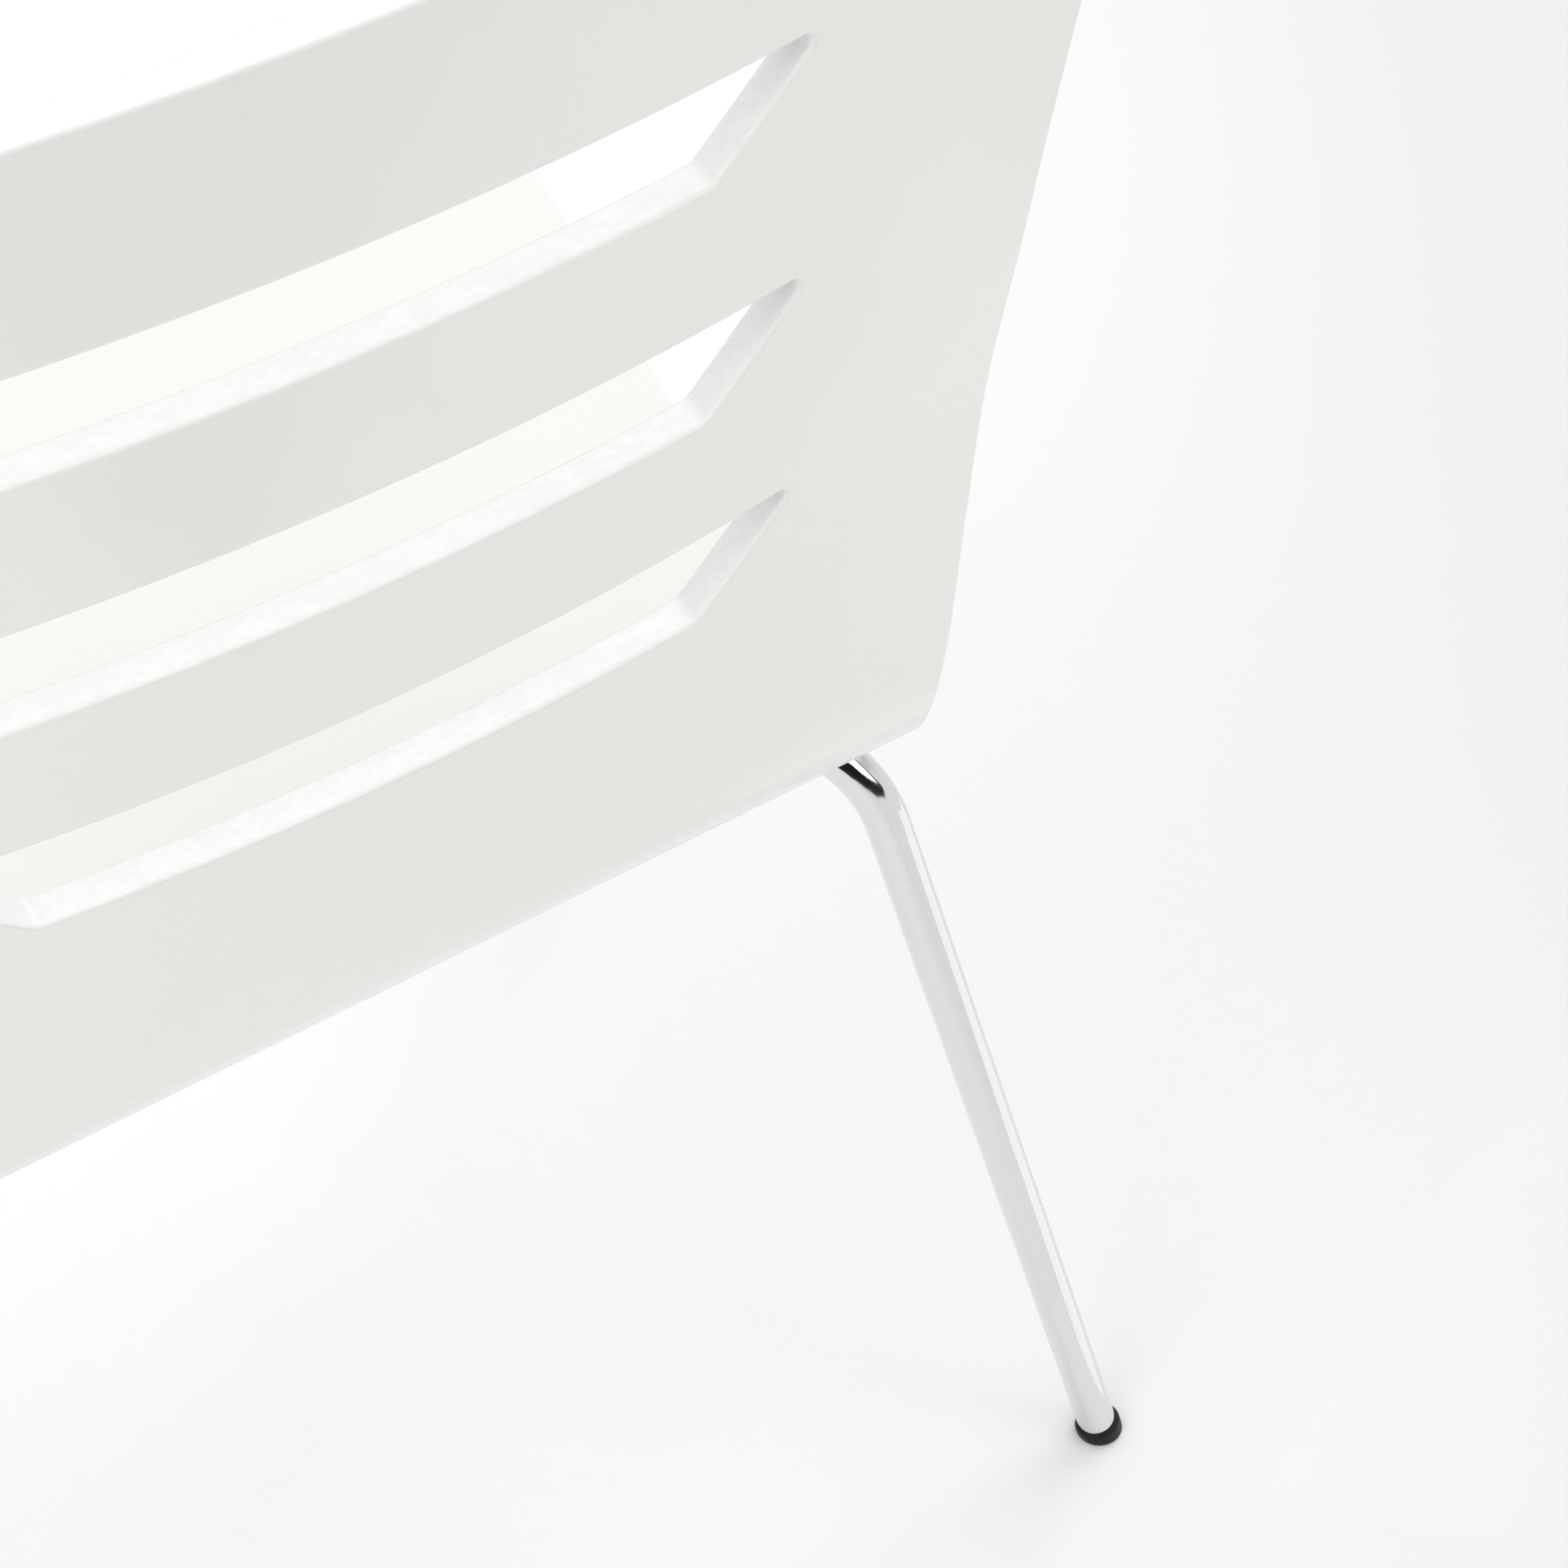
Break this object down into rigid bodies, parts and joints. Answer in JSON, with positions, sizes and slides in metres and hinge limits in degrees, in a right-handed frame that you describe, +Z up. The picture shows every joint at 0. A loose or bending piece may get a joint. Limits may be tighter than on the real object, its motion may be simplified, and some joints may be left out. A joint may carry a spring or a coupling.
{
  "type": "stacking chair",
  "caption": "Armless stacking chair: one-piece moulded plywood seat and slotted back, white lacquer, on splayed chromed tube legs with black foot caps.",
  "frame": {"origin": "on the floor, under the centre of the chair's bounding box", "axes": "+Z up; the chair faces -Y, so its back is towards +Y; the sitter's right-hand side is -X"},
  "size_m": [0.543, 0.5293, 0.7932],
  "materials": {
    "white_lacquer": "gloss white lacquer on moulded plywood",
    "chrome_tube": "polished chrome on steel tube",
    "chrome_strap": "chrome on flat steel bar",
    "zinc_steel": "bright zinc plate",
    "black_plastic": "fine matte",
    "black_rubber": "matte"
  },
  "bodies": {
    "root": {"seat_shell": "white_lacquer", "rear_leg_hoop": "chrome_tube", "front_leg_hoop": "chrome_tube", "centre_stretcher": "chrome_tube", "mounting_screws": "zinc_steel", "screw_washers": "zinc_steel", "threaded_inserts": "zinc_steel", "mounting_strap_left": "chrome_strap", "rubber_pad_rear_left": "black_rubber", "foot_cap_rear_left": "black_plastic", "stacking_bumper_rear_left": "black_plastic", "rubber_pad_front_left": "black_rubber", "foot_cap_front_left": "black_plastic", "stacking_bumper_front_left": "black_plastic", "mounting_strap_right": "chrome_strap", "rubber_pad_rear_right": "black_rubber", "foot_cap_rear_right": "black_plastic", "stacking_bumper_rear_right": "black_plastic", "rubber_pad_front_right": "black_rubber", "foot_cap_front_right": "black_plastic", "stacking_bumper_front_right": "black_plastic"}
  },
  "joints": []
}
